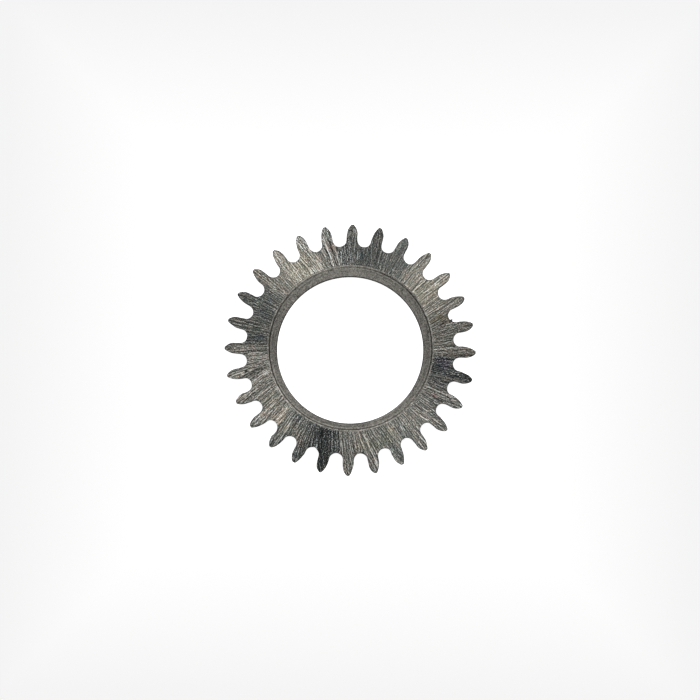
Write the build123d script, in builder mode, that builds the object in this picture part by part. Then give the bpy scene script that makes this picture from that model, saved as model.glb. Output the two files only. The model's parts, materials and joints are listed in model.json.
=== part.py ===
from build123d import *

import math
import os

# A crown wheel from the winding work of a mechanical watch.
#
# It is one flat ring of steel, a little under 5 mm across. Its rim is cut with
# pointed teeth, as winding gears have, and they lean: one flank of each tooth
# curves in to the point over a long arc and the other over a short one. In the
# upper face a shallow recess leaves a narrow ledge round the bore. The flange
# of the core that holds the wheel sinks into that recess, and the wheel turns
# on the core's hub, in the bore. The recess was turned a little off the centre.
#
# Frame: millimetres. The origin is the centre of the bore on the underside, +Z
# points out of the face with the recess, and one tooth points along +X.

# The gear: its size comes from the module and the number of teeth.
module = 0.16
tooth_count = 28

# The tooth form, in modules, so that it grows with the gear. The root and the
# point are measured from the pitch circle, and the straight stretch of each
# flank from the end of the round in the gap.
tooth_width_in_modules = 1.3625
root_depth_in_modules = 1.3125
point_height_in_modules = 1.444
tip_round_in_modules = 0.1625
straight_before_long_arc_in_modules = 0.135
straight_before_short_arc_in_modules = 0.655

# The body of the ring, and the break on its edges.
thickness = 0.36
bore_diameter = 2.86
edge_break = 0.012

# The recess round the bore, and how far and which way it is off centre.
ledge_width = 0.158
recess_depth = 0.05
recess_offset = 0.038
recess_offset_angle = 78

# The circles of the gear.
pitch_radius = module * tooth_count / 2
root_radius = pitch_radius - root_depth_in_modules * module
point_radius = pitch_radius + point_height_in_modules * module

# The gap between two teeth has one round for its whole bottom. The round
# touches the root circle in the middle of the gap, and both flanks beside it.
half_tooth = tooth_width_in_modules * module / 2
half_pitch = math.pi / tooth_count
gap_round = (root_radius * math.sin(half_pitch) - half_tooth) / (1 - math.sin(half_pitch))
flank_foot = (root_radius + gap_round) * math.cos(half_pitch)
gap_middle_x = root_radius * math.cos(half_pitch)
gap_middle_y = root_radius * math.sin(half_pitch)

# The flanks of a tooth that lies along +X leave the rounds parallel, and then
# each curves in to the point: one soon, over a long arc, and one late.
long_arc_start = flank_foot + straight_before_long_arc_in_modules * module
short_arc_start = flank_foot + straight_before_short_arc_in_modules * module
tip_round = tip_round_in_modules * module

# The recess sits on its own centre.
recess_radius = bore_diameter / 2 + ledge_width
recess_x = recess_offset * math.cos(math.radians(recess_offset_angle))
recess_y = recess_offset * math.sin(math.radians(recess_offset_angle))

with BuildPart() as crown_wheel:
    # One tooth and its share of the ring, from the middle of one gap to the next.
    with BuildSketch() as tooth:
        with BuildLine():
            point = (point_radius, 0)
            RadiusArc((gap_middle_x, -gap_middle_y), (flank_foot, -half_tooth), gap_round)
            Line((flank_foot, -half_tooth), (short_arc_start, -half_tooth))
            TangentArc((short_arc_start, -half_tooth), point, tangent=(1, 0))
            TangentArc((long_arc_start, half_tooth), point, tangent=(1, 0))
            Line((long_arc_start, half_tooth), (flank_foot, half_tooth))
            RadiusArc((flank_foot, half_tooth), (gap_middle_x, gap_middle_y), gap_round)
            Line((gap_middle_x, gap_middle_y), (0, 0))
            Line((0, 0), (gap_middle_x, -gap_middle_y))
        make_face()
        fillet(tooth.vertices().sort_by(Axis.X)[-1], tip_round)

    # The toothed blank: the tooth repeated round the axis, as thick as the wheel.
    with BuildSketch():
        with PolarLocations(0, tooth_count):
            add(tooth.sketch)
    extrude(amount=thickness)

    # The bore, right through.
    with BuildSketch():
        Circle(bore_diameter / 2)
    extrude(amount=thickness, mode=Mode.SUBTRACT)

    # The recess, sunk from the upper face, which leaves the ledge round the bore.
    with BuildSketch(Plane.XY.offset(thickness)):
        with Locations((recess_x, recess_y)):
            Circle(recess_radius)
    extrude(amount=-recess_depth, mode=Mode.SUBTRACT)

    # Both faces have a small break on every edge, and so has the bore at the ledge.
    flat_faces = crown_wheel.faces().filter_by(Axis.Z).sort_by(Axis.Z)
    underside = flat_faces[0]
    ledge = flat_faces[1]
    upper_face = flat_faces[-1]
    bore_edge = ledge.edges().sort_by(SortBy.RADIUS)[0]
    chamfer(underside.edges() + upper_face.edges() + [bore_edge], edge_break)

os.makedirs("parts", exist_ok=True)
crown_wheel.part.label = "crown_wheel"
export_step(crown_wheel.part, "parts/crown_wheel.step")
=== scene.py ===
# %% [markdown]
# # A crown wheel from a watch, in cells
#
# The wheel is a ring of hardened steel, about 5 mm across. Its rim has pointed,
# leaning teeth. The upper face was rubbed with an abrasive, out from the centre,
# so it is full of fine radial scratches. A recess in that face leaves a smooth
# turned ledge round the bore. The lesson builds the ring as one grid, worked out
# with numpy, and then gives each kind of surface its own finish.

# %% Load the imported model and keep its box
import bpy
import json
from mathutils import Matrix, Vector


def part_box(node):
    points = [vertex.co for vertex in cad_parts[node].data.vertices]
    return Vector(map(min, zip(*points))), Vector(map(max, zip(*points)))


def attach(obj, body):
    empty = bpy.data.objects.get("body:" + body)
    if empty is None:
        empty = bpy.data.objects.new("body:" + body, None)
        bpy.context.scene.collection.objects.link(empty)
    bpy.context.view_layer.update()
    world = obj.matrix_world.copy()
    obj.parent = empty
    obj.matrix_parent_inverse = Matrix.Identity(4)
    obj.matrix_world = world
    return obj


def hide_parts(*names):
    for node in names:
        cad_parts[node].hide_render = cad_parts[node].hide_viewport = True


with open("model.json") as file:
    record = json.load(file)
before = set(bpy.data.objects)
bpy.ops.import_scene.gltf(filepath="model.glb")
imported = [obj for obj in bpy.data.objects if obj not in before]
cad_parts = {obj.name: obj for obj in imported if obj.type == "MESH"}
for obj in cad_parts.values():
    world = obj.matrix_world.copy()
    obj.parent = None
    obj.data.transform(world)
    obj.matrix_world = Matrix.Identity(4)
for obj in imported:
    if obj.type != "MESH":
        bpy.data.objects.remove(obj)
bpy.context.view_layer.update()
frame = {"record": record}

import json
import math

import bpy
import numpy as np

MM = 0.001

# %% [markdown]
# ## The sizes, from the model
#
# The radius over the tips and the thickness come from the node's box. The bore and
# the recess come from the record's mounts, which also say where the recess sits,
# because it was turned a little off the centre. Shapes are worked out in
# millimetres and become metres when they turn into a mesh.

# %% Read the sizes
lowest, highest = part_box("crown_wheel")
mounts = {mount["name"]: mount for mount in frame["record"]["mounts"]}
recess = mounts["flange_recess"]
tip_radius = highest[0] / MM
thickness = highest[2] / MM
bore_radius = mounts["bore"]["dims"]["r_mm"]
recess_radius = recess["dims"]["r_mm"]
recess_centre = np.array(recess["pos_m"][:2]) / MM
recess_wall = recess["dims"]["length_mm"]
ledge_height = recess["pos_m"][2] / MM - recess_wall / 2
edge_round = thickness - ledge_height - recess_wall
print("tips %.3f mm, thickness %.3f mm, bore %.3f mm" % (tip_radius, thickness, bore_radius))
print("recess %.3f mm, ledge at %.3f mm, edges %.3f mm" % (recess_radius, ledge_height, edge_round))

# %% [markdown]
# ## The tooth
#
# A tooth of a winding gear isn't an involute. The bottom of the gap is one full
# round, the flanks leave it parallel to the tooth's axis, and then each curves in to
# the point. Here one flank starts to curve early and the other late, so the tooth
# leans. The outline could be drawn as points, but arcs from a few named sizes stay
# smooth at any resolution. The sizes repeat the model's, in modules.

# %% Name the sizes of the tooth
module = 0.16
tooth_count = 28
tooth_width = 1.3625 * module
root_depth = 1.3125 * module
point_height = 1.444 * module
tip_round = 0.1625 * module
straight_before_long_arc = 0.135 * module
straight_before_short_arc = 0.655 * module

half_tooth = tooth_width / 2
half_pitch = math.pi / tooth_count
pitch_radius = module * tooth_count / 2
root_radius = pitch_radius - root_depth
point_radius = pitch_radius + point_height
gap_round = (root_radius * math.sin(half_pitch) - half_tooth) / (1 - math.sin(half_pitch))
gap_centre_radius = root_radius + gap_round
flank_foot = gap_centre_radius * math.cos(half_pitch)
print("root circle %.3f mm, gap round %.3f mm" % (root_radius, gap_round))


# %% Draw one tooth as arcs
def arc(centre, radius, start, end, steps):
    """Points of a circle: centre plus radius times (cosine, sine) of evenly spaced angles.

    The last angle is left out, because the next stretch starts there.
    """
    angle = np.linspace(start, end, steps, endpoint=False)
    return centre + radius * np.stack([np.cos(angle), np.sin(angle)], axis=1)


def flank_arc_centre(start, side):
    """Centre and radius of the arc that leaves a flank and ends in the sharp point.

    It touches the flank, so its centre is square to the flank's end, and its radius
    is (length squared + half width squared) over twice the half width.
    """
    length = point_radius - start
    radius = (length ** 2 + half_tooth ** 2) / (2 * half_tooth)
    return np.array([start, side * (half_tooth - radius)]), radius


def round_centre(first, first_radius, second, second_radius):
    """Where two circles cross, on the side away from the wheel's centre."""
    between = second - first
    apart = np.linalg.norm(between)
    along = (apart ** 2 + first_radius ** 2 - second_radius ** 2) / (2 * apart)
    across = math.sqrt(first_radius ** 2 - along ** 2)
    unit = between / apart
    square = np.array([unit[1], -unit[0]])
    crossing = first + along * unit + across * square
    return crossing if crossing[0] > first[0] else first + along * unit - across * square


def direction(centre, point):
    """The angle of the line from a centre to a point."""
    return math.atan2(point[1] - centre[1], point[0] - centre[0])


# %% Join the stretches of the tooth
STEPS = {"gap": 13, "short straight": 6, "short arc": 13, "tip": 8, "long arc": 17, "long straight": 2}


def tooth_outline():
    """One tooth on the +X axis, from the middle of one gap to the middle of the next.

    Gap round, straight flank, short arc, round tip, long arc, straight flank, gap
    round. The tip's circle touches both arcs from inside, so its centre lies where
    the two arcs, drawn smaller by its radius, cross.
    """
    low_gap = gap_centre_radius * np.array([math.cos(half_pitch), -math.sin(half_pitch)])
    high_gap = low_gap * np.array([1, -1])
    short_start = flank_foot + straight_before_short_arc
    long_start = flank_foot + straight_before_long_arc
    short_centre, short_radius = flank_arc_centre(short_start, -1)
    long_centre, long_radius = flank_arc_centre(long_start, 1)
    tip = round_centre(long_centre, long_radius - tip_round, short_centre, short_radius - tip_round)
    short_end = direction(short_centre, tip)
    long_end = direction(long_centre, tip)
    quarter = math.pi / 2
    low_straight = np.linspace([flank_foot, -half_tooth], [short_start, -half_tooth],
                               STEPS["short straight"], endpoint=False)
    high_straight = np.linspace([long_start, half_tooth], [flank_foot, half_tooth],
                                STEPS["long straight"], endpoint=False)
    return np.concatenate([
        arc(low_gap, gap_round, math.pi - half_pitch, quarter, STEPS["gap"]),
        low_straight,
        arc(short_centre, short_radius, -quarter, short_end, STEPS["short arc"]),
        arc(tip, tip_round, short_end, long_end, STEPS["tip"]),
        arc(long_centre, long_radius, long_end, quarter, STEPS["long arc"]),
        high_straight,
        arc(high_gap, gap_round, -quarter, half_pitch - math.pi, STEPS["gap"]),
    ])


one_tooth = tooth_outline()
print("points on a tooth", len(one_tooth), "tip at %.4f mm" % one_tooth[:, 0].max())


# %% Repeat the tooth round the axis
def turned(points, angles):
    """Copies of the points, each turned about the axis by one of the angles."""
    cosine, sine = np.cos(angles)[:, None], np.sin(angles)[:, None]
    x, y = points[:, 0], points[:, 1]
    return np.stack([x * cosine - y * sine, x * sine + y * cosine], axis=2)


tooth_angles = 2 * half_pitch * np.arange(tooth_count)
outline = turned(one_tooth, tooth_angles).reshape(-1, 2)
columns = len(outline)
print("columns round the wheel", columns)


def outward(curve):
    """Unit normals of a closed curve that runs counter-clockwise, from its neighbours."""
    along = np.roll(curve, -1, axis=0) - np.roll(curve, 1, axis=0)
    normal = np.stack([along[:, 1], -along[:, 0]], axis=1)
    return normal / np.linalg.norm(normal, axis=1, keepdims=True)


# %% [markdown]
# ## Wear on the outline
#
# The real teeth aren't all alike. Each was cut a few thousandths of a millimetre
# short or full, some tips are blunt, and small burrs and nicks sit on the flanks. Each
# burr is a bump in the outline and each nick a dip, placed by its angle round the
# wheel and its radius. The outline moves along its own normal, so the teeth keep
# their form. A calmer outline leaves the burrs out. The rows inside the flat faces
# follow that one, because a spike in the outline would make them cross.

# %% Name the burrs and nicks
# Angle in degrees, radius in mm, height in mm (a nick is below zero), reach in mm.
BURRS = [
    (17.3, 2.060, 0.070, 0.014),
    (292.8, 2.20, 0.010, 0.022),
    (290.9, 2.15, 0.006, 0.016),
    (323.9, 2.19, 0.008, 0.020),
    (241.4, 2.33, 0.009, 0.020),
    (228.7, 2.27, 0.008, 0.022),
    (231.2, 2.37, -0.008, 0.020),
    (202.9, 2.27, 0.007, 0.020),
    (190.9, 2.27, 0.006, 0.020),
    (64.2, 2.46, -0.010, 0.030),
    (38.5, 2.46, -0.008, 0.030),
    (250.9, 2.04, -0.010, 0.020),
    (302.9, 2.04, -0.008, 0.018),
    (20.6, 2.05, -0.006, 0.020),
    (154.8, 2.40, -0.005, 0.025),
    (116.2, 2.36, 0.005, 0.020),
]
# Waves along the outline and their height in mm.
CUTTING_MARKS = ((97, 0.0016), (171, 0.0012), (263, 0.0006))
# How much shorter than the longest a tooth may be, in mm.
most_cut_back = 0.006
# How much fuller the teeth are at their tops, and how far out from the pitch circle the
# whole of that is reached, both in mm.
tooth_swell = 0.007
swell_distance = 0.14
print("burrs and nicks", len(BURRS))


# %% Wear the outline
def worn(curve, burrs, seed=7):
    """Moves the outline along its normals by cutting marks and burrs, and blunts the tips.

    The tops of the teeth are a little fuller than their arcs, and each is cut back to
    a radius of its own. The cutting marks are a few sines of the distance along the
    outline. A burr is a bell curve of the distance from its own point. The seed sets
    the teeth and the cutting marks, so they are the same whichever burrs are given.
    """
    random = np.random.default_rng(seed)
    radius = np.linalg.norm(curve, axis=1)
    short = np.repeat(random.uniform(0.0, most_cut_back, tooth_count), len(one_tooth))
    shift = tooth_swell * np.clip((radius - pitch_radius) / swell_distance, 0, 1)
    step = np.linalg.norm(np.roll(curve, -1, axis=0) - curve, axis=1)
    travel = np.cumsum(step) / step.sum() * 2 * math.pi
    for waves, height in CUTTING_MARKS:
        shift += height * np.sin(waves * travel + random.uniform(0, 2 * math.pi))
    for degrees, distance, height, reach in burrs:
        angle = math.radians(degrees)
        spot = distance * np.array([math.cos(angle), math.sin(angle)])
        shift += height * np.exp(-np.sum((curve - spot) ** 2, axis=1) / reach ** 2)
    moved = curve + shift[:, None] * outward(curve)
    reach_out = np.linalg.norm(moved, axis=1)
    return moved * np.minimum(1, (tip_radius - short) / reach_out)[:, None]


nicks = [burr for burr in BURRS if burr[2] < 0]
calm_outline = worn(outline, nicks)
outline = worn(outline, BURRS)
outline_normal = outward(outline)
calm_normal = outward(calm_outline)
print("outline reaches %.4f mm" % np.linalg.norm(outline, axis=1).max())

# %% Give each column the ray that it follows inside the teeth
# The ray's angle depends on the column's place in its tooth alone, by a straight share
# and a cube. Rays lie close together below the tip and wide apart below the gaps, and
# their order never turns back.
straight_share = 0.3
place_in_tooth = 2 * np.arange(len(one_tooth)) / len(one_tooth) - 1
inner_angle = half_pitch * (straight_share * place_in_tooth + (1 - straight_share) * place_in_tooth ** 3)
ray_angle = (tooth_angles[:, None] + inner_angle).ravel()
ray = np.stack([np.cos(ray_angle), np.sin(ray_angle)], axis=1)
print("rays", len(ray), "in order", bool((np.diff(inner_angle) > 0).all()))

# %% [markdown]
# ## The ring as one closed grid
#
# A boolean cut would give long thin triangles and sharp edges. One grid gives clean
# quads: columns run round the wheel and rows run round its section, up the rim, in
# over the brushed face, down into the recess, over the ledge, down the bore and back
# along the underside. The edges are quarter circles, apart from the recess's lip,
# which the rubbing drew down over a wider, flatter curve. Close rows beside each edge
# keep the flat faces flat when the shading is smooth.


# %% Say where the walls of the bore and the recess stand
def along_ray(centre, radius):
    """Where the ray at each column's angle meets a circle that may be off the centre.

    The distance is the centre's share along the ray, plus the root of the radius
    squared less the centre's squared share across the ray.
    """
    along = ray @ centre
    across = ray[:, 0] * centre[1] - ray[:, 1] * centre[0]
    return ray * (along + np.sqrt(radius ** 2 - across ** 2))[:, None]


bore_edge = along_ray(np.zeros(2), bore_radius)
recess_edge = along_ray(recess_centre, recess_radius)
bore_inward = -ray
recess_inward = (recess_centre - recess_edge) / recess_radius


def wall_rows(edge, void_side, depths, heights):
    """Rows beside a wall: the wall's curve moved into the metal by each depth, at each height.

    A depth below zero moves the curve the other way, out over what lies beside the wall.
    """
    flat = edge[None] - void_side[None] * np.asarray(depths)[:, None, None]
    z = np.broadcast_to(np.asarray(heights)[:, None, None], flat.shape[:2] + (1,))
    return np.concatenate([flat, z], axis=2)


def between(first, last, shares):
    """Rows between two rows, at the given shares of the way."""
    share = np.asarray(shares)[:, None, None]
    return first[None] * (1 - share) + last[None] * share


def quarter_round(size, steps):
    """Depth and height of a quarter circle that starts on the wall and ends on the face.

    Depth is size times (1 - cosine), and height is size times sine.
    """
    angle = np.linspace(0, math.pi / 2, steps + 1)
    return size * (1 - np.cos(angle)), size * np.sin(angle)


# %% Say how each edge is rounded
# The rim's upper edge is broken half as much as the others, and the corner between the
# recess's wall and the ledge has a small fillet, in mm.
rim_break = 0.5 * edge_round
inner_fillet = 0.003
rim_depth, rim_rise = quarter_round(rim_break, 3)
lower_depth, lower_rise = quarter_round(edge_round, 2)
bore_depth, bore_rise = quarter_round(edge_round, 3)
fillet_depth, fillet_rise = quarter_round(inner_fillet, 2)
# The recess's lip: how far out from the wall each row lies, and how far below the face.
lip_depth = np.array([0.040, 0.028, 0.017, 0.009, 0.004, 0.0])
lip_drop = edge_round * np.array([0.0, 0.02, 0.06, 0.15, 0.40, 1.0])
print("rim break %.4f mm, lip %.3f mm wide" % (rim_break, lip_depth.max()))

# %% Work out the rows, one stretch of the section after another
flank_top = thickness - rim_break
bore_top = ledge_height - edge_round
wall_foot = edge_round
# Rows that keep close to an edge, in mm from it, below zero where they lie in the recess.
beside_rim = [0.009, 0.013]
beside_recess_wall = [-0.010, -0.020, -0.045]
beside_rim_below = [0.015]
# Rows between two others, as shares of the way.
face_shares = np.linspace(0.05, 0.97, 12)
ledge_shares = [0.45, 0.90]
under_shares = [0.01, 0.4]
flank_shares = [0.04, 0.96]
bore_shares = [0.05, 0.95]

rim_foot = wall_rows(outline, outline_normal, lower_depth[::-1], wall_foot - lower_rise[::-1])
rim_up = wall_rows(outline, outline_normal, rim_depth, flank_top + rim_rise)
recess_lip = wall_rows(recess_edge, recess_inward, lip_depth, thickness - lip_drop)
recess_foot = wall_rows(recess_edge, recess_inward, -fillet_depth, ledge_height + inner_fillet - fillet_rise)
bore_lip = wall_rows(bore_edge, bore_inward, bore_depth[::-1], bore_top + bore_rise[::-1])
bore_foot = wall_rows(bore_edge, bore_inward, lower_depth, wall_foot - lower_rise)
face_start = wall_rows(calm_outline, calm_normal, beside_rim, [thickness] * len(beside_rim))
ledge_start = wall_rows(recess_edge, recess_inward, beside_recess_wall,
                        [ledge_height] * len(beside_recess_wall))
under_end = wall_rows(calm_outline, calm_normal, beside_rim_below, [0.0])
stretches = {
    "rim foot": rim_foot,
    "flank": between(rim_foot[-1], rim_up[0], flank_shares),
    "rim top": rim_up,
    "face": np.concatenate([face_start, between(face_start[-1], recess_lip[0], face_shares)]),
    "recess lip": recess_lip,
    "recess foot": recess_foot,
    "ledge": np.concatenate([ledge_start, between(ledge_start[-1], bore_lip[0], ledge_shares)]),
    "bore lip": bore_lip,
    "bore wall": between(bore_lip[-1], bore_foot[0], bore_shares),
    "bore foot": bore_foot,
    "underside": np.concatenate([between(bore_foot[-1], under_end[0], under_shares), under_end]),
}
rows = sum(len(stretch) for stretch in stretches.values())
print("rows", rows, "triangles", 2 * rows * columns)

# %% Place the rows and name the stretch that each belongs to
grid = np.concatenate(list(stretches.values()))
row_names = np.repeat(list(stretches), [len(stretch) for stretch in stretches.values()])


def closed_grid(name, points):
    """A mesh from a grid that closes on itself both ways, with its faces outwards.

    Corner numbers are row times columns plus column, and the last row and column
    meet the first again.
    """
    high, wide = points.shape[:2]
    row, column = np.meshgrid(np.arange(high), np.arange(wide), indexing="ij")
    next_row, next_column = (row + 1) % high, (column + 1) % wide
    corners = np.stack([row * wide + column, row * wide + next_column,
                        next_row * wide + next_column, next_row * wide + column], axis=2)
    mesh = bpy.data.meshes.new(name)
    mesh.vertices.add(high * wide)
    mesh.vertices.foreach_set("co", (points * MM).ravel())
    mesh.loops.add(4 * high * wide)
    mesh.loops.foreach_set("vertex_index", corners.ravel())
    mesh.polygons.add(high * wide)
    mesh.polygons.foreach_set("loop_start", np.arange(high * wide) * 4)
    mesh.polygons.foreach_set("use_smooth", np.ones(high * wide, dtype=bool))
    mesh.update(calc_edges=True)
    mesh.validate()
    return mesh


mesh = closed_grid("crown_wheel_finished", grid)
wheel = bpy.data.objects.new("crown_wheel_finished", mesh)
bpy.context.scene.collection.objects.link(wheel)
print("wheel", len(mesh.vertices), "points, size", [round(v / MM, 3) for v in wheel.dimensions])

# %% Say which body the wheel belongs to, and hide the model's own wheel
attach(wheel, "root")
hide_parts("crown_wheel")

# %% [markdown]
# ## How the face was rubbed
#
# The face wasn't brushed in one pass. Someone rubbed it stroke beside stroke, each
# at its own slant and pressure, so it is made of patches with nearly hard borders:
# some bright and lined, some dark and mottled. Their tones also hold painted sheen
# and shade, which deepen the bright and dark sectors that the light makes on the
# scratches. The patches are kept as values at the mesh's points, where numpy can lay
# their slanted borders. The finish reads them.

# %% Name the patches
# Where a patch starts in degrees, its tone, slant, grain and contrast. It lasts to the next.
# The tones are partly the rubbing's own and partly painted sheen and shade, bright and dark sector by sector
# round the wheel.
PATCHES = [
    (-2.6, 1.20, 0.05, 0.40, 1.05),
    (0.5, 1.55, 0.05, 0.30, 1.05),
    (6, 1.20, 0.10, 0.50, 0.95),
    (16.3, 1.10, 0.25, 0.30, 0.90),
    (24, 1.25, 0.12, 0.20, 0.80),
    (32, 1.45, 0.00, 0.15, 0.70),
    (42, 1.20, 0.02, 0.15, 0.70),
    (46, 1.45, 0.00, 0.20, 0.70),
    (51, 1.25, 0.00, 0.25, 0.75),
    (56.5, 0.80, 0.00, 0.45, 0.75),
    (66.5, 0.85, 0.03, 0.40, 0.80),
    (71, 0.80, 0.05, 0.40, 0.90),
    (78, 0.75, 0.05, 0.40, 1.00),
    (86, 0.85, 0.00, 0.50, 1.15),
    (90, 0.70, 0.08, 0.40, 1.55),
    (98, 1.00, 0.30, 0.20, 1.05),
    (106, 1.15, 0.33, 0.20, 1.05),
    (111, 1.50, 0.25, 0.20, 1.20),
    (120, 1.55, 0.06, 0.20, 1.00),
    (126.5, 1.85, 0.03, 0.20, 0.90),
    (132, 1.30, 0.00, 0.20, 0.80),
    (143, 0.90, 0.00, 0.40, 0.85),
    (155, 0.90, 0.04, 0.50, 0.85),
    (163, 1.05, 0.00, 0.50, 0.95),
    (171, 0.80, 0.05, 0.50, 1.05),
    (177, 1.25, 0.05, 0.40, 1.20),
    (182, 1.85, 0.10, 0.30, 1.20),
    (191, 1.05, 0.25, 0.30, 1.25),
    (195.5, 1.60, 0.35, 0.25, 1.10),
    (201.5, 1.00, 0.25, 0.20, 1.00),
    (206, 1.00, 0.22, 0.20, 0.95),
    (215, 0.95, 0.20, 0.15, 1.05),
    (222, 1.30, 0.02, 0.15, 1.05),
    (227, 0.80, 0.12, 0.25, 1.00),
    (231.5, 0.65, 0.10, 0.35, 1.05),
    (235, 0.80, 0.05, 0.40, 1.10),
    (241, 0.55, 0.10, 0.50, 1.25),
    (247, 0.40, 0.20, 0.70, 1.50),
    (250, 0.20, 0.30, 0.50, 1.95),
    (255, 0.20, 0.25, 0.90, 1.80),
    (258, 0.35, 0.22, 0.80, 1.70),
    (260.5, 0.55, 0.20, 0.70, 1.60),
    (262.5, 0.75, 0.18, 0.50, 1.50),
    (264.5, 1.10, 0.15, 0.35, 1.45),
    (276, 1.05, 0.25, 0.25, 1.10),
    (285, 0.95, 0.30, 0.30, 1.05),
    (292, 0.80, 0.25, 0.30, 1.00),
    (296.5, 1.15, 0.15, 0.30, 0.90),
    (301, 0.80, 0.00, 0.25, 0.80),
    (307, 1.05, 0.00, 0.20, 0.85),
    (316, 1.05, 0.02, 0.15, 0.85),
    (321, 0.95, 0.00, 0.25, 1.00),
    (331, 1.05, 0.06, 0.30, 1.15),
    (337, 0.85, 0.00, 0.45, 1.15),
    (346, 0.45, 0.00, 0.50, 1.45),
    (351, 0.70, 0.00, 0.50, 1.40),
]
# The radius in mm at which a patch starts at its own angle, however its border leans.
middle_radius = 1.85
# How far a border wavers, in degrees, and its waves, in radians for each mm outwards.
border_waver = 0.5
border_waves = 21
print("patches", len(PATCHES))

# %% Name the stains
# Degrees, radius in mm, reach in mm and what the spot does to red, green and blue.
STAINS = [
    (20.6, 1.74, 0.060, (0.80, 0.75, 0.62)),
    (20.6, 1.88, 0.075, (0.68, 0.61, 0.48)),
    (19.2, 2.00, 0.055, (0.70, 0.63, 0.50)),
    (17.8, 1.90, 0.025, (0.45, 0.40, 0.35)),
    (17.3, 2.08, 0.040, (0.20, 0.18, 0.16)),
    (10.0, 2.10, 0.200, (0.97, 1.00, 1.02)),
    (38.0, 1.85, 0.250, (1.02, 1.00, 0.95)),
    (84.0, 1.85, 0.080, (0.92, 0.98, 1.06)),
    (100.5, 2.05, 0.090, (1.12, 0.95, 0.90)),
    (121.0, 1.85, 0.280, (1.02, 1.00, 0.94)),
    (149.0, 1.85, 0.050, (0.90, 0.98, 1.10)),
    (150.0, 2.00, 0.250, (0.97, 1.00, 1.00)),
    (158.5, 1.85, 0.100, (0.90, 0.99, 1.08)),
    (168.0, 2.00, 0.250, (0.97, 1.00, 1.00)),
    (173.0, 1.80, 0.080, (0.90, 0.99, 1.12)),
    (213.0, 1.85, 0.280, (1.02, 1.00, 0.95)),
    (217.6, 2.10, 0.040, (1.25, 0.95, 0.88)),
    (242.5, 2.08, 0.060, (1.15, 0.90, 0.86)),
    (251.0, 1.72, 0.040, (0.50, 0.52, 0.52)),
    (223.0, 1.95, 0.200, (1.06, 0.99, 0.97)),
    (231.0, 1.95, 0.180, (1.04, 1.00, 0.94)),
    (240.0, 1.95, 0.200, (1.06, 1.00, 0.94)),
    (278.0, 1.85, 0.150, (1.04, 1.00, 0.92)),
    (280.0, 2.25, 0.060, (1.15, 0.92, 0.86)),
    (287.5, 1.95, 0.130, (0.99, 1.02, 0.94)),
    (294.5, 1.85, 0.120, (1.02, 1.03, 0.90)),
    (299.0, 1.72, 0.050, (1.12, 0.98, 0.92)),
    (332.7, 1.88, 0.035, (1.35, 0.80, 0.84)),
    (352.5, 1.85, 0.120, (0.97, 0.91, 1.14)),
]
print("stains", len(STAINS))


# %% Lay the patches on the mesh's points
def soft_step(value, soft):
    """0 below -soft / 2, 1 above soft / 2 and a straight rise between."""
    return np.clip(value / soft + 0.5, 0, 1)


def lay_patches(points, soft=0.5, seed=3):
    """Tone, slant, grain and contrast at each point.

    Each patch takes over where the angle passes its border, within the soft degrees.
    The border leans and wavers: its angle is the start plus the slant times (radius
    over middle radius less one), plus a small sine of the radius.
    """
    random = np.random.default_rng(seed)
    radius = np.hypot(points[..., 0], points[..., 1])
    first = PATCHES[0][0]
    angle = (np.degrees(np.arctan2(points[..., 1], points[..., 0])) - first) % 360 + first
    value = np.broadcast_to(np.array(PATCHES[-1][1:]), points.shape[:2] + (4,)).copy()
    for start, tone, slant, grain, contrast in PATCHES:
        border = start + math.degrees(slant) * (radius / middle_radius - 1)
        border += border_waver * np.sin(radius * border_waves + random.uniform(0, 2 * math.pi))
        share = soft_step(angle - border, soft)[..., None]
        value = value * (1 - share) + np.array([tone, slant, grain, contrast]) * share
    share = soft_step(angle - first - 360, soft)[..., None]
    return value * (1 - share) + np.array(PATCHES[0][1:]) * share


def lay_stains(points):
    """Red, green and blue factors: each spot fades in by a bell curve of the distance."""
    colour = np.ones(points.shape[:2] + (4,))
    for degrees, distance, reach, factor in STAINS:
        angle = math.radians(degrees)
        spot = distance * np.array([math.cos(angle), math.sin(angle)])
        share = np.exp(-np.sum((points[..., :2] - spot) ** 2, axis=2) / reach ** 2)[..., None]
        colour[..., :3] *= 1 - share + share * np.array(factor)
    return colour


patch_and_painted_light = lay_patches(grid)
stain = lay_stains(grid)
print("tone from %.2f to %.2f" % (patch_and_painted_light[..., 0].min(), patch_and_painted_light[..., 0].max()))


# %% Darken the rim of the face and paint the lines of light and shade round the ledge
def near_outline(points, reach):
    """1 on the outline and less inwards, by a bell curve of the distance to it.

    Every third point of the outline is close enough for that distance.
    """
    nearest = np.array([np.sqrt(((row[:, None, :2] - outline[None, ::3]) ** 2).sum(axis=2).min(axis=1))
                        for row in points])
    return np.exp(-(nearest / reach) ** 2)


# Stretches of the circles round the ledge where the painted shade is deeper or the
# painted light brighter than on the rest of the circle: degrees, half width in degrees,
# and strength.
BORE_SHADE = [(35, 25, 0.35), (95, 24, 0.75), (135, 20, 0.4), (173, 18, 0.8),
              (252, 10, 0.5), (353, 14, 0.7)]
LEDGE_LIGHT = [(215, 18, 0.16), (312, 22, 0.10)]
LEDGE_SHADE = [(60, 20, 0.06), (215, 6, 0.12), (265, 22, 0.07), (280, 10, 0.10)]
FOOT_SHADE = [(200, 30, 0.80), (245, 20, 0.50), (292, 28, 0.65), (335, 14, 0.35)]
FOOT_LIGHT = [(40, 25, 0.40), (105, 30, 0.90)]
RING_LIGHT = [(235, 50, 0.15), (285, 20, 0.05)]
LIP_SHINE = [(20, 14, 0.2), (75, 14, 0.3), (118, 18, 0.6), (216, 20, 0.9), (252, 14, 0.5), (290, 18, 1.0)]
# How many waves run round the wheel in each of the sines that make the dashes.
DASH_WAVES = (37, 61, 97, 149)
# The face grows darker by this share beside the teeth's edge, over about this many mm.
rim_darker = 0.10
rim_reach = 0.035


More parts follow.
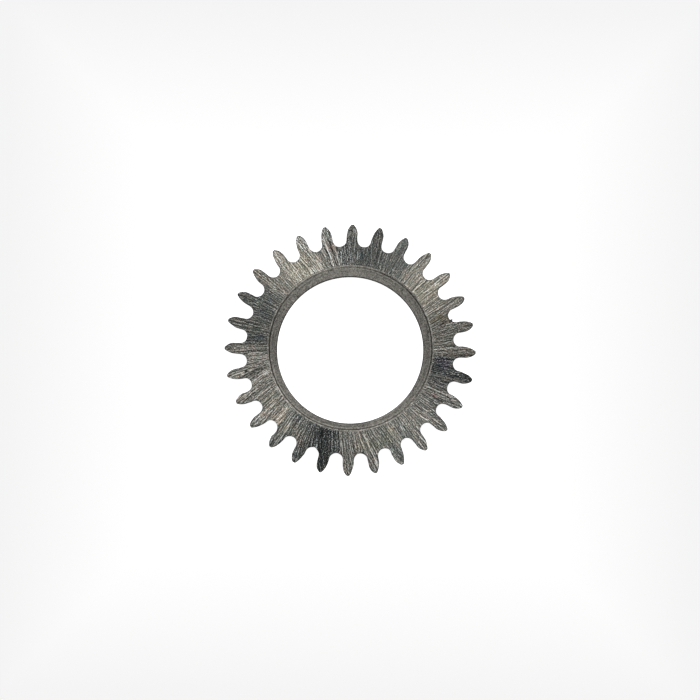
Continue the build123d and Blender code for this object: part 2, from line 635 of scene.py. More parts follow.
def by_angle(stretches_of_line, angle):
    """The sum of soft humps, one for each named stretch, of the angle in degrees.

    A hump is the strength times (1.5 less the distance over the half width), with the
    bracket held between 0 and 1. The sum is held between 0 and 1 too.
    """
    total = 0 * angle
    for degrees, half_width, strength in stretches_of_line:
        away = np.abs((angle - degrees + 180) % 360 - 180)
        total += strength * np.clip(1.5 - away / half_width, 0, 1)
    return np.clip(total, 0, 1)


def dashes(angle, seed):
    """A wavy value between 0 and 1 that breaks a line into dashes."""
    random = np.random.default_rng(seed)
    waves = [np.sin(np.radians(angle) * k + random.uniform(0, 2 * math.pi)) for k in DASH_WAVES]
    return np.clip(0.6 + 0.3 * sum(waves), 0, 1)


# %% Set the tone of each row of the section, with painted light and shade round the recess and the bore
tone = patch_and_painted_light[..., 0]
column_angle = np.degrees(np.arctan2(ray[:, 1], ray[:, 0]))
face_rows = row_names == "face"
tone[face_rows] *= 1 - rim_darker * near_outline(grid[face_rows], rim_reach)
patched = ["face", "rim top", "bore foot"]
tone[~np.isin(row_names, patched)] = 1
lip_row, ledge_row, bore_row, bore_wall_row = [
    int(np.argmax(row_names == name)) for name in ("recess lip", "ledge", "bore lip", "bore wall")]

# Painted highlight: the lip's tone is raised as though its rounded edge caught the light, most in the
# stretches of LIP_SHINE.
lip_tone = (1.15 + 1.1 * by_angle(LIP_SHINE, column_angle)) * (0.6 + 0.7 * dashes(column_angle, 1))
# Painted sheen on the ledge: its tone rises and falls twice round the wheel, with painted light and shade in
# the named stretches.
ledge_tone = 0.76 - 0.15 * np.cos(np.radians(2 * column_angle))
ledge_tone += by_angle(LEDGE_LIGHT, column_angle) - by_angle(LEDGE_SHADE, column_angle)
# Painted shade along the foot of the recess's wall: it is lightened where the lights leave that side dark
# and deepened where they fall on it.
foot_tone = 0.60 - 0.28 * np.cos(np.radians(2 * (column_angle - 10)))
foot_tone *= ledge_tone * (0.8 + 0.35 * dashes(column_angle, 2))
foot_tone *= 1 + by_angle(FOOT_LIGHT, column_angle) - by_angle(FOOT_SHADE, column_angle)
# A painted lit ring on the ledge beside the wall.
ring_tone = ledge_tone * (1.35 + 0.4 * dashes(column_angle, 3)) * (1 + by_angle(RING_LIGHT, column_angle))
# Painted shade on the bore's rounded edge, darkest where it faces away from the lights.
bore_tone = 0.8 * (1 - by_angle(BORE_SHADE, column_angle) * (0.8 + 0.2 * dashes(column_angle, 4)))
# A painted highlight on the lip, painted shade at the foot of the wall, a painted lit
# ring beside it, and the ledge with a painted sheen that changes round the wheel, which
# ends in a painted dark edge at the bore.
tone[lip_row] = 0.95
tone[lip_row + 1] = lip_tone
tone[lip_row + 2] = 0.3 * lip_tone + 0.7 * foot_tone
tone[lip_row + 3:ledge_row] = foot_tone
tone[ledge_row:bore_row] = ledge_tone
tone[ledge_row] = 0.4 * foot_tone + 0.6 * ring_tone
tone[ledge_row + 1] = ring_tone
tone[ledge_row + 2] = 0.90 * ledge_tone
tone[ledge_row + 4] = 1.05 * ledge_tone
tone[bore_row:bore_wall_row] = bore_tone
print("tone on the lip %.2f, at the foot %.2f, on the ledge %.2f" % (
    lip_tone.mean(), foot_tone.mean(), ledge_tone.mean()))


# %% Keep the values at the mesh's points
def keep_on_points(name, values):
    """Stores four numbers for each point of the mesh as a colour attribute."""
    attribute = mesh.attributes.new(name, "FLOAT_COLOR", "POINT")
    attribute.data.foreach_set("color", values.astype(np.float32).ravel())


keep_on_points("rubbing_and_painted_light", patch_and_painted_light)
keep_on_points("stain", stain)
print("attributes", [a.name for a in mesh.attributes if a.name in ("rubbing_and_painted_light", "stain")])

# %% [markdown]
# ## Helpers for the finishes
#
# A finish is a small network of nodes. These helpers add one node and join it to
# others in one line, so that each finish below reads like a recipe.


# %% Add and join nodes
def fill(tree, node, inputs):
    """Fills a node's sockets with plain values or links from other nodes."""
    for name, value in dict(inputs).items():
        if isinstance(value, bpy.types.NodeSocket):
            tree.links.new(value, node.inputs[name])
        else:
            node.inputs[name].default_value = value
    return node


def put(tree, kind, inputs=(), **settings):
    """Adds a node, sets its settings, and fills its sockets."""
    node = tree.nodes.new(kind)
    for name, value in settings.items():
        setattr(node, name, value)
    return fill(tree, node, inputs)


def calc(tree, operation, first, second=0.0):
    """One step of arithmetic on values."""
    return put(tree, "ShaderNodeMath", {0: first, 1: second}, operation=operation).outputs[0]


def plus(tree, first, second):
    """The first value plus the second."""
    return calc(tree, "ADD", first, second)


def minus(tree, first, second):
    """The first value less the second."""
    return calc(tree, "SUBTRACT", first, second)


def times(tree, first, second):
    """The first value times the second."""
    return calc(tree, "MULTIPLY", first, second)


def vector_calc(tree, operation, first, second=(0, 0, 0)):
    """One step of arithmetic on vectors."""
    node = put(tree, "ShaderNodeVectorMath", {0: first, 1: second}, operation=operation)
    return node.outputs["Value" if operation in ("LENGTH", "DOT_PRODUCT") else "Vector"]


def larger(tree, vector, scale):
    """A vector times a number."""
    return put(tree, "ShaderNodeVectorMath", {0: vector, "Scale": scale}, operation="SCALE").outputs[0]


def span(tree, value, low, high, to_low=0.0, to_high=1.0):
    """Maps a range of values to another and holds the ends."""
    sockets = {"Value": value, "From Min": low, "From Max": high, "To Min": to_low, "To Max": to_high}
    return put(tree, "ShaderNodeMapRange", sockets).outputs["Result"]


def mixed(tree, share, first, second, how="MIX"):
    """Mixes two colours by a share."""
    return put(tree, "ShaderNodeMix", {0: share, 6: first, 7: second}, data_type="RGBA",
               blend_type=how).outputs[2]


def noise(tree, point, scale=1.0, detail=2.0):
    """A noise value about 0.5 at a point."""
    return put(tree, "ShaderNodeTexNoise", {"Vector": point, "Scale": scale, "Detail": detail,
                                            "Roughness": 0.6}).outputs["Fac"]


def channels(tree, colour):
    """The three numbers of a colour: red, green and blue."""
    return put(tree, "ShaderNodeSeparateColor", {0: colour}).outputs


def cells(tree, point):
    """A random number for each cell of a Voronoi pattern with cells about one unit wide."""
    node = put(tree, "ShaderNodeTexVoronoi", {"Vector": point, "Scale": 1.0})
    return channels(tree, node.outputs["Color"])["Red"]


def lots(tree, x, y=0.0):
    """Random numbers drawn for a pair of whole numbers: red, green and blue."""
    pair = put(tree, "ShaderNodeCombineXYZ", {"X": x, "Y": y}).outputs[0]
    drawn = put(tree, "ShaderNodeTexWhiteNoise", {"Vector": pair}, noise_dimensions="2D")
    return channels(tree, drawn.outputs["Color"])


def crisper(tree, value, around, amount):
    """Sets a value off from those around it: adds its difference from their mean, times the amount."""
    total = around[0]
    for other in around[1:]:
        total = plus(tree, total, other)
    mean = calc(tree, "DIVIDE", total, float(len(around)))
    return plus(tree, value, times(tree, minus(tree, value, mean), amount))


def held(tree, value, least, most):
    """A value kept between two others."""
    return calc(tree, "MINIMUM", calc(tree, "MAXIMUM", value, least), most)


FLOAT, VECTOR = "NodeSocketFloat", "NodeSocketVector"


def new_group(name, inputs, outputs):
    """An empty node group with named sockets. Inputs are (name, kind, default)."""
    group = bpy.data.node_groups.new(name, "ShaderNodeTree")
    for socket_name, kind, default in inputs:
        group.interface.new_socket(socket_name, in_out="INPUT", socket_type=kind).default_value = default
    for socket_name, kind in outputs:
        group.interface.new_socket(socket_name, in_out="OUTPUT", socket_type=kind)
    return group, group.nodes.new("NodeGroupInput").outputs, group.nodes.new("NodeGroupOutput").inputs


def place(tree, group, inputs=()):
    """Places a node group, fills its sockets and returns its outputs."""
    return fill(tree, put(tree, "ShaderNodeGroup", node_tree=group), inputs).outputs


print("node helpers", [helper.__name__ for helper in (put, calc, span, mixed, noise, cells, place)])


# %% [markdown]
# ## Scratches that follow the wheel
#
# The fine scratches are straight lines out from the axis. Noise drawn out along the
# radius would make such lines too, but soft ones, which blur away in a picture as
# small as the photograph. So the angle round the wheel is counted in narrow lines,
# each line is cut into pieces of its own length, and every piece draws a random
# number, which is set off from the numbers beside it. The count is a whole number, so
# where the angle jumps at most one line is cut in two. Turning the angle back by an
# amount that grows with the radius slants the lines.

# %% Group for the place on the wheel
def make_polar_group():
    """Angle and distance from the axis, the unit direction, and the place in mm.

    Flat is the place with its height left out.
    """
    group, _, out = new_group(
        "wheel_polar", [],
        [("Direction", VECTOR), ("Angle", FLOAT), ("Radius", FLOAT), ("Place", VECTOR), ("Flat", VECTOR)])
    place_mm = larger(group, put(group, "ShaderNodeTexCoord").outputs["Object"], 1 / MM)
    flat = vector_calc(group, "MULTIPLY", place_mm, (1, 1, 0))
    split = put(group, "ShaderNodeSeparateXYZ", {0: flat}).outputs
    group.links.new(vector_calc(group, "NORMALIZE", flat), out["Direction"])
    group.links.new(calc(group, "ARCTAN2", split["Y"], split["X"]), out["Angle"])
    group.links.new(vector_calc(group, "LENGTH", flat), out["Radius"])
    group.links.new(place_mm, out["Place"])
    group.links.new(flat, out["Flat"])
    return group


polar_group = make_polar_group()
print("group", polar_group.name)


# %% Group for the fine lines
def streak(tree, turn, radius, breaks):
    """A random number for each cell of a grid of straight radial lines, and the groove's depth.

    The line is the whole part of the turn, and its fraction runs across the groove. Along
    the line the cells have a random length and start, drawn for that line.
    """
    line = calc(tree, "FLOOR", turn)
    drawn = lots(tree, line)
    length = plus(tree, drawn["Red"], 0.5)
    start = times(tree, drawn["Green"], 9.0)
    run = times(tree, times(tree, radius, breaks), length)
    number = lots(tree, line, calc(tree, "FLOOR", plus(tree, run, start)))["Blue"]
    across = minus(tree, minus(tree, turn, line), 0.5)
    return number, times(tree, calc(tree, "ABSOLUTE", across), number)


# How far to each side, in lines, the number that a mark is set off from is read, and by
# how much it is set off.
line_step = 1.15
line_crispness = 1.8


def make_lines_group():
    """Straight marks along the radius.

    Lines is how many go round the wheel, and breaks how many marks a mm of a line has,
    on average. A mark's angle is turned back by the slant times (radius over middle
    radius less one). Streak is a random number for each mark, set off from the marks
    beside it. Another seed gives other numbers.
    """
    group, given, out = new_group(
        "radial_lines",
        [("Angle", FLOAT, 0.0), ("Radius", FLOAT, 2.0), ("Lines", FLOAT, 700.0),
         ("Breaks", FLOAT, 5.0), ("Slant", FLOAT, 0.0), ("Seed", FLOAT, 0.0)],
        [("Streak", FLOAT), ("Depth", FLOAT)])
    offset = minus(group, calc(group, "DIVIDE", given["Radius"], middle_radius), 1.0)
    angle = minus(group, given["Angle"], times(group, offset, given["Slant"]))
    turn = times(group, calc(group, "DIVIDE", angle, 2 * math.pi), given["Lines"])
    turn = plus(group, turn, given["Seed"])
    number, depth = streak(group, turn, given["Radius"], given["Breaks"])
    around = [streak(group, plus(group, turn, step), given["Radius"], given["Breaks"])[0]
              for step in (-line_step, line_step)]
    group.links.new(crisper(group, number, around, line_crispness), out["Streak"])
    group.links.new(depth, out["Depth"])
    return group


lines_group = make_lines_group()
print("group", lines_group.name)


# %% Group for a single scratch
# How far from its start and from its end a scratch reaches its full strength, in mm.
scratch_start = 0.03
scratch_end = 0.05


def make_scratch_group():
    """One straight scratch: 1 within its half width and between its ends.

    The place along it is the offset from its start times its unit way, and the
    distance across it is the offset times the unit square to that way.
    """
    group, given, out = new_group(
        "one_scratch",
        [("Flat", VECTOR, (0, 0, 0)), ("Start", VECTOR, (0, 0, 0)), ("Way", VECTOR, (1, 0, 0)),
         ("Square", VECTOR, (0, 1, 0)), ("Length", FLOAT, 1.0), ("Half width", FLOAT, 0.01)],
        [("Mask", FLOAT)])
    offset = vector_calc(group, "SUBTRACT", given["Flat"], given["Start"])
    across = calc(group, "ABSOLUTE", vector_calc(group, "DOT_PRODUCT", offset, given["Square"]))
    mask = span(group, across, times(group, given["Half width"], 0.5), given["Half width"], 1.0, 0.0)
    along = vector_calc(group, "DOT_PRODUCT", offset, given["Way"])
    mask = times(group, mask, span(group, along, 0.0, scratch_start))
    near_end = minus(group, given["Length"], scratch_end)
    mask = times(group, mask, span(group, along, near_end, given["Length"], 1.0, 0.0))
    group.links.new(mask, out["Mask"])
    return group


scratch_group = make_scratch_group()
print("group", scratch_group.name)

# %% [markdown]
# ## The brushed face
#
# The face is bare steel, darkened by handling. Its scratches are 15 to 25 thousandths
# of a millimetre wide, of uneven depth, and a few are long and bright. The metal is
# rougher across the scratches than along them, so light slides into a bow tie: the
# shader's anisotropy does that, with its tangent running round the wheel. Colour,
# roughness and bump come from the same lines, so that they agree.

# %% Name the scratches that stand out
# Degrees and mm where it starts, degrees and mm where it ends, half width in mm, and how
# much lighter (or darker, below zero) the metal is in it.
SCRATCHES = [
    (14.8, 1.62, 17.4, 2.04, 0.009, -0.35),
    (38.8, 1.95, 39.1, 2.42, 0.012, 0.4),
    (43.9, 1.66, 43.9, 2.05, 0.009, 0.9),
    (43.2, 1.70, 43.2, 2.04, 0.009, -0.35),
    (70.4, 1.69, 71.7, 1.77, 0.009, 0.9),
    (75.0, 1.82, 75.1, 2.05, 0.009, -0.35),
    (76.9, 2.04, 77.1, 2.38, 0.009, -0.35),
    (86.4, 1.76, 86.4, 1.96, 0.009, 0.7),
    (88.9, 2.28, 88.9, 2.40, 0.009, 0.8),
    (97.9, 1.64, 99.6, 2.10, 0.010, 1.5),
    (101.6, 1.64, 104.5, 2.30, 0.011, 1.2),
    (99.9, 1.66, 101.9, 2.20, 0.009, -0.35),
    (103.1, 1.66, 104.7, 2.10, 0.009, -0.35),
    (109.2, 1.64, 110.6, 1.86, 0.009, 0.7),
    (110.6, 1.64, 111.8, 1.84, 0.009, 0.8),
    (114.9, 1.64, 115.9, 1.80, 0.009, 0.9),
    (116.3, 1.64, 117.4, 1.82, 0.009, 1.0),
    (117.6, 1.64, 118.5, 1.79, 0.009, 0.9),
    (118.6, 2.00, 118.9, 2.12, 0.009, 0.7),
    (125.4, 1.64, 126.4, 1.96, 0.009, 0.9),
    (128.7, 2.15, 129.1, 2.42, 0.009, 0.8),
    (140.2, 1.88, 140.2, 2.36, 0.009, -0.35),
    (141.1, 1.88, 141.1, 2.38, 0.009, 0.5),
    (141.7, 1.90, 141.7, 2.30, 0.009, -0.35),
    (183.2, 1.86, 183.2, 2.00, 0.009, 0.9),
    (185.4, 1.72, 185.4, 2.01, 0.009, 0.9),
    (191.8, 1.62, 194.5, 2.06, 0.009, -0.35),
    (194.2, 1.64, 195.7, 1.80, 0.009, 0.9),
    (195.6, 1.64, 197.0, 1.79, 0.009, 0.9),
    (205.5, 1.70, 207.6, 2.05, 0.009, 0.7),
    (215.9, 1.72, 217.6, 2.42, 0.009, 0.6),
    (218.6, 1.90, 219.0, 2.40, 0.009, 0.9),
    (223.0, 1.64, 225.0, 2.02, 0.012, 0.8),
    (230.9, 1.68, 232.0, 2.38, 0.009, 0.35),
    (232.0, 1.80, 232.9, 2.34, 0.009, 0.6),
    (251.0, 1.62, 255.6, 2.36, 0.030, -0.12),
    (252.2, 1.62, 259.2, 2.30, 0.024, -0.12),
    (265.1, 1.76, 267.1, 2.06, 0.010, 1.6),
    (267.9, 2.25, 267.9, 2.38, 0.009, 0.9),
    (276.4, 1.60, 279.0, 1.96, 0.012, 0.8),
    (279.9, 1.64, 284.5, 2.34, 0.009, 1.5),
    (287.9, 1.85, 287.9, 1.96, 0.009, 0.8),
    (297.0, 1.64, 299.0, 2.10, 0.012, 0.4),
    (304.4, 1.76, 304.4, 1.90, 0.009, 0.8),
    (317.5, 1.86, 319.0, 2.07, 0.010, 1.1),
    (320.6, 1.85, 321.7, 2.32, 0.009, 0.9),
    (327.9, 1.64, 327.9, 1.86, 0.009, 0.8),
    (335.0, 1.64, 335.0, 2.20, 0.009, -0.35),
    (335.9, 1.64, 335.9, 2.25, 0.012, 1.4),
    (354.9, 1.64, 354.9, 2.06, 0.040, -0.08),
]
print("scratches", len(SCRATCHES))


# %% Helpers that the finishes share
def at_polar(degrees, radius):
    """The point at an angle and a distance from the axis, in mm."""
    angle = math.radians(degrees)
    return np.array([radius * math.cos(angle), radius * math.sin(angle), 0.0])


def new_material(name):
    """A material with its Principled shader, ready to be filled."""
    material = bpy.data.materials.new(name)
    material.use_nodes = True
    tree = material.node_tree
    return material, tree, tree.nodes["Principled BSDF"]


def round_tangent(tree):
    """A tangent that runs round the axis."""
    return put(tree, "ShaderNodeTangent", direction_type="RADIAL", axis="Z").outputs[0]


def grooved(tree, height, depth_mm):
    """The normal of a surface whose grooves are so many mm deep for a height from 0 to 1."""
    return put(tree, "ShaderNodeBump", {"Height": height, "Strength": 1.0,
                                        "Distance": depth_mm * MM}).outputs[0]


def kept(tree, name, output="Color"):
    """Reads numbers that the mesh keeps at its points: three as a colour, or the fourth as alpha."""
    return put(tree, "ShaderNodeAttribute", attribute_name=name).outputs[output]


def tinted(tree, colour, share, low, high):
    """Multiplies a colour by one that goes from low to high with the share."""
    return mixed(tree, 1.0, colour, mixed(tree, share, (*low, 1), (*high, 1)), "MULTIPLY")


def metal_colour(tree, value):
    """Turns a reflectance into steel's colour: cool where dark, warm where bright.

    The very brightest is nearly grey again.
    """
    hue = mixed(tree, span(tree, value, 0.05, 0.45), (0.945, 1.01, 0.96, 1), (1.07, 1.005, 0.87, 1))
    hue = mixed(tree, span(tree, value, 0.45, 0.80), hue, (1.01, 1.0, 0.97, 1))
    return larger(tree, hue, value)


print("finish helpers", [helper.__name__ for helper in (grooved, kept, tinted, metal_colour)])


# %% Add up the scratches that stand out
def all_scratches(tree, flat):
    """How much lighter the named scratches make a spot: each one's light times its mask."""
    total = 0.0
    for first_degrees, first_radius, last_degrees, last_radius, half_width, light in SCRATCHES:
        first = at_polar(first_degrees, first_radius)
        last = at_polar(last_degrees, last_radius)
        length = np.linalg.norm(last - first)
        way = (last - first) / length
        mask = place(tree, scratch_group, {"Flat": flat, "Start": first, "Way": way,
                                           "Square": (-way[1], way[0], 0), "Length": length,
                                           "Half width": half_width})["Mask"]
        total = put(tree, "ShaderNodeMath", {0: mask, 1: light, 2: total},
                    operation="MULTIPLY_ADD").outputs[0]
    return total


# %% Make the brushed steel
# The reflectance of a middling spot, and the least and the most that any spot has.
face_value = 0.181
face_least, face_most = 0.03, 0.95
# How far the marks and the scratches reach from there.
mark_strength = 2.1
scratch_strength = 0.95
# Cells in each mm of the grain and of the painted glints, the share of cells without a
# glint, and the reflectance that a painted glint adds.
grain_cells, glint_cells = 70.0, 42.0
glintless = 0.96
glint_light = 0.25
# Where the grain that a cell is set off from is read, in cells, and by how much it is set off.
GRAIN_STEPS = ((1.4, 0, 0), (-1.4, 0, 0), (0, 1.4, 0), (0, -1.4, 0))
grain_crispness = 1.2


def brushed_steel():
    """Radial scratches in colour, roughness and bump, over metal with a round tangent.

    The reflectance is the middling one times e to the power of (marks less a half)
    times the patch's contrast, so that bright and dark marks balance. The marks are
    three sets of lines, mixed with a grain by the patch's share of it.
    """
    material, tree, shader = new_material("brushed_steel")
    polar = place(tree, polar_group)
    radius, spot = polar["Radius"], polar["Place"]
    rubbing_and_painted_light = channels(tree, kept(tree, "rubbing_and_painted_light"))
    tone, slant = rubbing_and_painted_light["Red"], rubbing_and_painted_light["Green"]
    grain_share = span(tree, rubbing_and_painted_light["Blue"], 0.0, 1.0, 0.20, 0.65)

    def lines(count, breaks, seed, lean=slant):
        return place(tree, lines_group, {"Angle": polar["Angle"], "Radius": radius, "Lines": count,
                                         "Breaks": breaks, "Slant": lean, "Seed": seed})

    fine = lines(690.0, 5.0, 0.31)
    hair = lines(790.0, 26.0, 5000.77)
    long = lines(730.0, 1.0, 10000.13)
    lined = plus(tree, times(tree, fine["Streak"], 0.35), times(tree, hair["Streak"], 0.35))
    lined = plus(tree, lined, times(tree, long["Streak"], 0.30))

    grain_spot = larger(tree, spot, grain_cells)
    around = [cells(tree, vector_calc(tree, "ADD", grain_spot, step)) for step in GRAIN_STEPS]
    grain = crisper(tree, cells(tree, grain_spot), around, grain_crispness)
    marks = plus(tree, times(tree, lined, minus(tree, 1.0, grain_share)),
                 times(tree, grain, grain_share))

    strength = times(tree, kept(tree, "rubbing_and_painted_light", "Alpha"), mark_strength)
    contrast = times(tree, minus(tree, marks, 0.5), strength)
    # Painted glints: a few scattered cells are made much brighter, as sparkles of light.
    glint_speck = calc(tree, "GREATER_THAN", cells(tree, larger(tree, spot, glint_cells)), glintless)
    value = times(tree, calc(tree, "EXPONENT", contrast), face_value)
    value = plus(tree, value, times(tree, glint_speck, glint_light))
    # The patch's tone is partly painted sheen and shade, by sector round the wheel.
    value = times(tree, value, tone)
    bead = span(tree, lines(400.0, 36.0, 15000.19, 0.0)["Streak"], 0.30, 0.55, 0.25, 1.0)
    scratched = times(tree, all_scratches(tree, polar["Flat"]), bead)
    value = plus(tree, value, times(tree, scratched, scratch_strength))
    value = held(tree, value, face_least, face_most)

    colour = metal_colour(tree, value)
    hue_lines = lines(420.0, 8.0, 20000.57)["Streak"]
    hue_spots = span(tree, noise(tree, spot, 40.0, 1.0), 0.35, 0.65)
    hue_patches = span(tree, noise(tree, spot, 9.0, 1.0), 0.35, 0.65)
    colour = tinted(tree, colour, hue_lines, (0.97, 1.01, 1.03), (1.03, 0.99, 0.97))
    colour = tinted(tree, colour, hue_spots, (0.96, 1.01, 1.03), (1.04, 0.99, 0.97))
    colour = tinted(tree, colour, hue_patches, (0.98, 1.01, 1.00), (1.02, 0.99, 1.00))
    colour = tinted(tree, colour, span(tree, tone, 0.60, 1.20), (0.96, 1.01, 1.05), (1.02, 1.00, 0.96))
    colour = mixed(tree, 1.0, colour, kept(tree, "stain"), "MULTIPLY")
    height = plus(tree, fine["Depth"], times(tree, hair["Depth"], 0.5))
    fill(tree, shader, {"Base Color": colour, "Roughness": span(tree, marks, 0.1, 0.9, 0.42, 0.30),
                        "Normal": grooved(tree, height, 0.0012), "Metallic": 1.0, "Anisotropic": 0.8,
                        "Tangent": round_tangent(tree)})
    return material


# %% [markdown]
# ## The turned, cut and ground surfaces
#
# The ledge was turned, so its lines run round the axis, finer than the brushing, and
# it is a little browner. The teeth were cut, and the bore was turned, with marks that
# lie one above the other. These surfaces are duller and darker than the face.


# %% Make the turned steel
# The reflectance of a middling spot of the ledge, and the least and the most.
ledge_value = 0.30
ledge_least, ledge_most = 0.02, 0.90


def turned_steel():
    """Fine rings round the recess's axis over a faint mottle, brown-grey.

    The rings are noise read along the distance from the recess's axis. The noise
    changes slowly round the wheel too, so that no ring is even all the way.
    """
    material, tree, shader = new_material("turned_steel")
    polar = place(tree, polar_group)
    spot = polar["Place"]
    from_middle = vector_calc(tree, "SUBTRACT", polar["Flat"], (*recess_centre, 0))
    distance = vector_calc(tree, "LENGTH", from_middle)
    rings = put(tree, "ShaderNodeCombineXYZ", {"X": times(tree, distance, 75.0)}).outputs[0]
    ring_noise = noise(tree, vector_calc(tree, "ADD", rings, larger(tree, polar["Direction"], 3.0)))
    mottle = noise(tree, spot, 75.0)
    marks = plus(tree, times(tree, ring_noise, 0.55), times(tree, mottle, 0.45))
    grain = cells(tree, larger(tree, spot, 80.0))
    # Painted glints on the ledge as well.
    glint_speck = calc(tree, "GREATER_THAN", cells(tree, larger(tree, spot, 38.0)), 0.975)
    value = plus(tree, 1.0, times(tree, minus(tree, marks, 0.5), 3.5))
    value = plus(tree, value, times(tree, minus(tree, grain, 0.5), 1.3))
    value = plus(tree, value, times(tree, glint_speck, 0.7))
    # The tone kept at the points paints the lip's highlight, the shade at the wall's foot, the lit ring and
    # the ledge's sheen round the wheel.
    tone = channels(tree, kept(tree, "rubbing_and_painted_light"))["Red"]
    value = times(tree, times(tree, value, ledge_value), tone)
    value = held(tree, value, ledge_least, ledge_most)
    hue = span(tree, noise(tree, spot, 20.0, 1.0), 0.35, 0.65)
    tint = mixed(tree, hue, (1.0, 0.985, 0.865, 1), (1.04, 0.975, 0.895, 1))
    fill(tree, shader, {"Base Color": larger(tree, tint, value), "Normal": grooved(tree, marks, 0.0015),
                        "Roughness": 0.40, "Metallic": 1.0, "Anisotropic": 0.25,
                        "Anisotropic Rotation": 0.25, "Tangent": round_tangent(tree)})
    return material


# %% Make the cut and the ground steel
def cut_steel():
    """Marks of the cutter, level lines one above the other, for flanks and bore."""
    material, tree, shader = new_material("cut_steel")
    polar = place(tree, polar_group)
    marks = noise(tree, vector_calc(tree, "MULTIPLY", polar["Place"], (6.0, 6.0, 80.0)))
    value = span(tree, marks, 0.3, 0.7, 0.03, 0.09)
    # The tone kept at the points paints shade on the bore's rounded edge; on the rim's top it is the face's
    # patch tone.
    value = times(tree, value, channels(tree, kept(tree, "rubbing_and_painted_light"))["Red"])
    colour = larger(tree, (1.0, 0.98, 0.93), value)
    colour = mixed(tree, 1.0, colour, kept(tree, "stain"), "MULTIPLY")
    fill(tree, shader, {"Base Color": colour, "Normal": grooved(tree, marks, 0.002),
                        "Roughness": 0.5, "Metallic": 1.0})
    return material


def ground_steel():
    """Straight grain from the grinding stone, for the underside."""
    material, tree, shader = new_material("ground_steel")
    polar = place(tree, polar_group)
    marks = noise(tree, vector_calc(tree, "MULTIPLY", polar["Place"], (3.0, 70.0, 3.0)), 1.0, 3.0)
    value = span(tree, marks, 0.3, 0.7, 0.14, 0.30)
    fill(tree, shader, {"Base Color": metal_colour(tree, value), "Normal": grooved(tree, marks, 0.002),
                        "Roughness": 0.36, "Metallic": 1.0})
    return material


# %% Give each stretch of the section its finish
cut_finish = cut_steel()
turned_finish = turned_steel()
finish_of = {name: cut_finish for name in stretches}
finish_of["face"] = brushed_steel()
finish_of["underside"] = ground_steel()
for name in ("recess lip", "recess foot", "ledge"):
    finish_of[name] = turned_finish
finishes = list(dict.fromkeys(finish_of.values()))
for finish in finishes:
    mesh.materials.append(finish)
row_finish = np.array([finishes.index(finish_of[name]) for name in row_names])
mesh.polygons.foreach_set("material_index", np.repeat(row_finish, columns).astype(np.int32))
mesh.update()
print("finishes", [finish.name for finish in finishes])

# %% [markdown]
# ## Floor, light and camera
#
# The photograph shows a small part on a white ground under soft light, seen from
# above. The floor is pale and adds a little light of its own to what the camera sees,
# so it reads as white and still keeps the wheel's shadow.


# %% Make the white floor
# The glow is even out to the first distance from the middle, in mm, falls fast to the
# second, and slowly to the third, which is the picture's edge.
even_reach, fast_reach, edge_reach = 2.7, 3.9, 6.75
# Its strength in the middle, its strength at the second distance, and its loss from there on.
middle_glow, outer_glow, edge_loss = 0.92, 0.15, 0.106
# Its gain at the bottom of the picture, which fades to nothing at the top.
bottom_gain = 0.032


def white_floor():
    """Matte white plus a glow that only camera, glossy and glass rays see.

    The glow is strong under the wheel, which keeps the ground white between the
    teeth, and fades towards the picture's sides.
    """
    material = bpy.data.materials.new("white_floor")
    material.use_nodes = True
    tree = material.node_tree
    tree.nodes.clear()
    path = put(tree, "ShaderNodeLightPath").outputs
    seen = calc(tree, "MAXIMUM", path["Is Camera Ray"], path["Is Glossy Ray"])
    seen = calc(tree, "MAXIMUM", seen, path["Is Transmission Ray"])
    place_mm = larger(tree, put(tree, "ShaderNodeTexCoord").outputs["Object"], 1 / MM)
    flat = put(tree, "ShaderNodeSeparateXYZ", {0: vector_calc(tree, "ABSOLUTE", place_mm)}).outputs
    up = put(tree, "ShaderNodeSeparateXYZ", {0: place_mm}).outputs["Y"]
    out_from_middle = calc(tree, "MAXIMUM", flat["X"], flat["Y"])
    strength = plus(tree, span(tree, out_from_middle, even_reach, fast_reach, middle_glow, outer_glow),
                    span(tree, out_from_middle, fast_reach, edge_reach, 0.0, -edge_loss))
    strength = plus(tree, strength, span(tree, up, -edge_reach, edge_reach, bottom_gain, 0.0))
    strength = times(tree, seen, strength)
    matte = put(tree, "ShaderNodeBsdfDiffuse", {"Color": (0.90, 0.90, 0.90, 1)}).outputs[0]
    glow = put(tree, "ShaderNodeEmission", {"Color": (1, 1, 1, 1), "Strength": strength}).outputs[0]
    both = put(tree, "ShaderNodeAddShader", {0: matte, 1: glow}).outputs[0]
    put(tree, "ShaderNodeOutputMaterial", {"Surface": both})
    return material


# %% Lay the floor
half_floor = 0.15
floor_mesh = bpy.data.meshes.new("floor")
floor_mesh.from_pydata([(-half_floor, -half_floor, 0), (half_floor, -half_floor, 0),
                        (half_floor, half_floor, 0), (-half_floor, half_floor, 0)], [], [(0, 1, 2, 3)])
floor = bpy.data.objects.new("floor", floor_mesh)
floor_mesh.materials.append(white_floor())
bpy.context.scene.collection.objects.link(floor)
print("floor", 2 * half_floor, "m wide")

# %% Hang two soft lights
# For both: degrees above the floor, metres away, metres wide, and watts.
light_height = 50
light_distance = 0.30
light_size = 0.15
light_power = 0.405


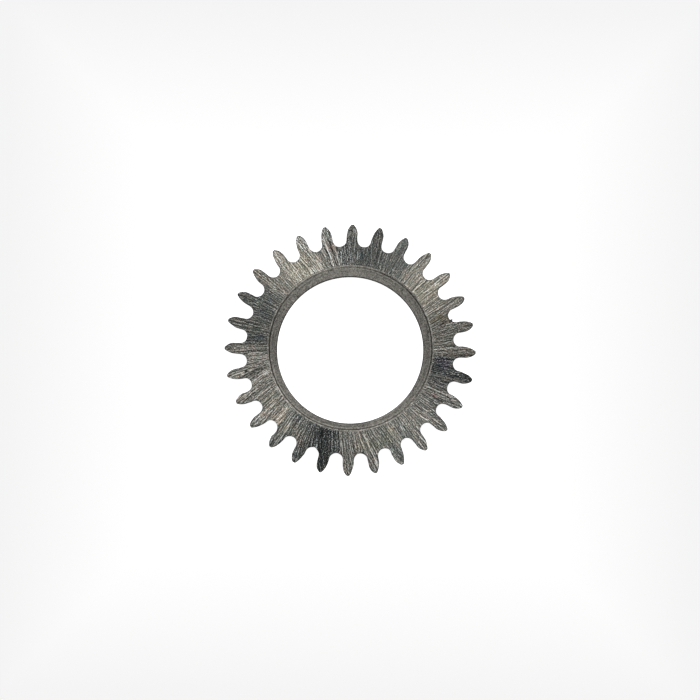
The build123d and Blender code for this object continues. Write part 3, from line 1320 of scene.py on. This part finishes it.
def soft_light(name, azimuth):
    """A square light that looks at the wheel from an azimuth and the common height in degrees."""
    data = bpy.data.lights.new(name, "AREA")
    data.size = light_size
    data.energy = light_power
    lamp = bpy.data.objects.new(name, data)
    turn, lift = math.radians(azimuth), math.radians(light_height)
    lamp.location = (light_distance * math.cos(lift) * math.cos(turn),
                     light_distance * math.cos(lift) * math.sin(turn), light_distance * math.sin(lift))
    lamp.rotation_euler = (math.pi / 2 - lift, 0, turn + math.pi / 2)
    bpy.context.scene.collection.objects.link(lamp)


soft_light("light_right", 33)
soft_light("light_left", 134)
print("lights", [lamp.name for lamp in bpy.data.lights])

# %% Light the wheel evenly from all round
surround_strength = 0.30
world = bpy.data.worlds.new("studio")
world.use_nodes = True
surround = world.node_tree.nodes["Background"]
surround.inputs["Color"].default_value = (1, 1, 1, 1)
surround.inputs["Strength"].default_value = surround_strength
bpy.context.scene.world = world
print("surround", surround_strength)

# %% Stand the camera above the wheel
# Both widths are in pixels, the angles in degrees and the distance in metres. The camera
# aims a hair off the bore's centre, by so many mm.
picture_width = 700
wheel_width_in_picture = 251.7
camera_azimuth = 0.94
camera_elevation = 89.4
camera_distance = 0.12
aim_x, aim_y = -0.003, 0.003
frame_width = 2 * tip_radius * MM * picture_width / wheel_width_in_picture

camera_data = bpy.data.cameras.new("camera")
camera = bpy.data.objects.new("camera", camera_data)
bpy.context.scene.collection.objects.link(camera)
bpy.context.scene.camera = camera
camera_data.sensor_width = 36
camera_data.lens = camera_data.sensor_width * camera_distance / frame_width
camera_data.clip_start = 0.001
camera_data.clip_end = 10
turn, lift = math.radians(camera_azimuth), math.radians(camera_elevation)
aim = np.array([aim_x, aim_y, thickness]) * MM
back = np.array([math.sin(turn) * math.cos(lift), -math.cos(turn) * math.cos(lift), math.sin(lift)])
camera.location = aim + back * camera_distance
camera.rotation_euler = (math.pi / 2 - lift, 0, turn)
bpy.context.scene.view_settings.view_transform = "Standard"
print("frame %.2f mm wide, lens %.0f mm" % (frame_width / MM, camera_data.lens))
